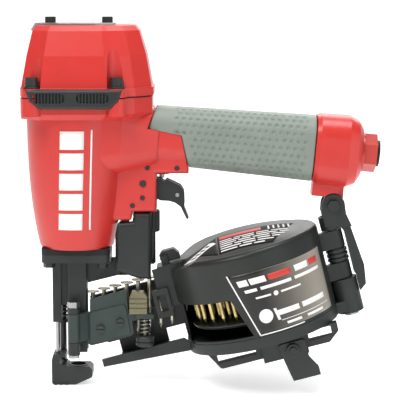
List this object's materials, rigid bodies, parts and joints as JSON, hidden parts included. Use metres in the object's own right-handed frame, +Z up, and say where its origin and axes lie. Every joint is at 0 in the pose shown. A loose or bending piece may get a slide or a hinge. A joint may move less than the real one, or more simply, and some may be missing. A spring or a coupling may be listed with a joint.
{
  "type": "coil roofing nailer",
  "caption": "Pneumatic coil nail gun with a piston barrel, rubber-gripped handle, work contact, feed door and a tilted round nail canister.",
  "frame": {"origin": "on the driver axis at the ground face of the work contact", "axes": "+Z up along the driver axis, +X from the barrel towards the end of the handle"},
  "size_m": [0.2567, 0.112, 0.2682],
  "materials": {
    "red_paint": "satin red paint on cast magnesium",
    "fitting": "red anodised hex fitting",
    "grip_rubber": "grey-green moulded rubber with dimples",
    "black_cast": "black textured coating",
    "black_plastic": "black glass-filled nylon",
    "trigger_plastic": "black trigger",
    "black_steel": "black oxide steel",
    "steel": "ground steel",
    "spring_steel": "spring wire",
    "door_plate": "greenish black phosphate",
    "latch_metal": "zinc-plated, olive tint",
    "knob": "black ribbed plastic",
    "nail_brass": "yellow zinc coating",
    "aluminium_parts": "machined aluminium",
    "seals": "black rubber",
    "valve_plastic": "acetal"
  },
  "bodies": {
    "housing": {"body_housing": "red_paint", "top_cap": "red_paint", "cap_gasket": "seals", "exhaust_guards": "black_plastic", "exhaust_deflector": "steel", "cap_bolts": "black_steel", "cylinder_sleeve": "aluminium_parts", "sleeve_ring": "seals", "bumper": "seals", "head_valve_spring": "spring_steel", "trigger_pin": "steel", "trigger_valve": "aluminium_parts", "plunger_spring": "spring_steel", "housing_pins": "black_steel", "grip_sleeve": "grip_rubber", "end_cap": "red_paint", "inlet_fitting": "fitting", "inlet_ring": "seals", "nose_gasket": "seals", "nose_body": "black_cast", "nose_bolts": "black_steel", "rod_guide": "black_cast", "side_shroud": "black_plastic", "contact_spring": "spring_steel", "track_nails": "nail_brass", "feed_cylinder": "aluminium_parts", "feed_cylinder_cap": "aluminium_parts", "feed_spring": "spring_steel", "door_hinge_pin": "steel", "magazine_base": "black_cast", "bracket_arm": "black_cast", "cover_hinge_pin": "steel", "bracket_bolt": "black_steel", "gauge_rail": "black_steel"},
    "piston_assembly": {"piston": "aluminium_parts", "piston_ring": "seals", "driver_blade": "steel"},
    "head_valve": {"head_valve": "valve_plastic"},
    "trigger": {"trigger": "trigger_plastic", "lever_pin": "steel"},
    "trigger_lever": {"trigger_lever": "steel"},
    "plunger": {"trigger_plunger": "valve_plastic"},
    "work_contact": {"contact_foot": "black_steel", "contact_rod": "steel", "contact_link": "black_steel"},
    "depth_wheel": {"depth_wheel": "knob"},
    "feed_slide": {"feed_piston": "steel", "feed_pawl": "aluminium_parts"},
    "door": {"feed_door": "door_plate", "door_screws": "steel", "latch_spring": "spring_steel"},
    "door_latch": {"door_latch": "latch_metal", "latch_knob": "knob"},
    "cover": {"canister_cover": "black_plastic"},
    "cover_latch": {"cover_latch": "black_plastic"},
    "tray": {"nail_tray": "black_plastic", "nail_coil": "nail_brass"},
    "gauge": {"gauge_clamp": "black_steel", "shingle_gauge": "black_steel", "gauge_screw": "black_steel"}
  },
  "joints": [
    {"name": "driver_stroke", "type": "slide", "parent": "housing", "child": "piston_assembly", "axis": [0, 0, -1], "range_m": [0, 0.068]},
    {"name": "head_valve_lift", "type": "slide", "parent": "housing", "child": "head_valve", "axis": [0, 0, 1], "range_m": [0, 0.003], "stiffness_N_per_m": 900, "springref_m": -0.002, "deforming": ["head_valve_spring"]},
    {"name": "trigger_pull", "type": "hinge", "parent": "housing", "child": "trigger", "pos_m": [0.0487, 0, 0.1494], "axis": [0, -1, 0], "range_deg": [0, 12], "stiffness_Nm_per_rad": 0.6, "springref_deg": -14.32},
    {"name": "lever_swing", "type": "hinge", "parent": "trigger", "child": "trigger_lever", "pos_m": [0.0732, 0, 0.1401], "axis": [0, 1, 0], "range_deg": [0, 5], "stiffness_Nm_per_rad": 0.05, "springref_deg": -5.73},
    {"name": "plunger_lift", "type": "slide", "parent": "housing", "child": "plunger", "axis": [0, 0, 1], "range_m": [0, 0.003], "deforming": ["plunger_spring"]},
    {"name": "contact_press", "type": "slide", "parent": "housing", "child": "work_contact", "axis": [0, 0, 1], "range_m": [0, 0.006], "stiffness_N_per_m": 600, "springref_m": -0.004, "deforming": ["contact_spring"]},
    {"name": "depth_turn", "type": "hinge", "parent": "work_contact", "child": "depth_wheel", "pos_m": [0.0548, 0, 0.12], "axis": [0, 0, 1], "range_deg": [-180, 180]},
    {"name": "feed_stroke", "type": "slide", "parent": "housing", "child": "feed_slide", "axis": [0.9681, 0, 0.2504], "range_m": [0, 0.0083], "stiffness_N_per_m": 500, "springref_m": -0.003},
    {"name": "door_swing", "type": "hinge", "parent": "housing", "child": "door", "pos_m": [-0.0018, -0.017, 0.044], "axis": [0, 0, -1], "range_deg": [0, 105]},
    {"name": "latch_lift", "type": "slide", "parent": "door", "child": "door_latch", "axis": [0, 0, 1], "range_m": [0, 0.005], "stiffness_N_per_m": 400, "springref_m": -0.004, "deforming": ["latch_spring"]},
    {"name": "cover_swing", "type": "hinge", "parent": "housing", "child": "cover", "pos_m": [0.1928, 0, 0.08467], "axis": [-0.2504, 0, 0.9681], "range_deg": [0, 90]},
    {"name": "cover_latch_lift", "type": "hinge", "parent": "cover", "child": "cover_latch", "pos_m": [0.06335, 0, 0.09354], "axis": [0, -1, 0], "range_deg": [0, 50]},
    {"name": "tray_height", "type": "slide", "parent": "housing", "child": "tray", "axis": [0.2504, 0, -0.9681], "range_m": [0, 0.01]},
    {"name": "gauge_slide", "type": "slide", "parent": "housing", "child": "gauge", "axis": [0.9681, 0, 0.2504], "range_m": [-0.024, 0.012]}
  ],
  "couplings": [
    {"joint": "plunger_lift", "follows": "trigger_pull", "m_per_rad": 0.0133}
  ]
}
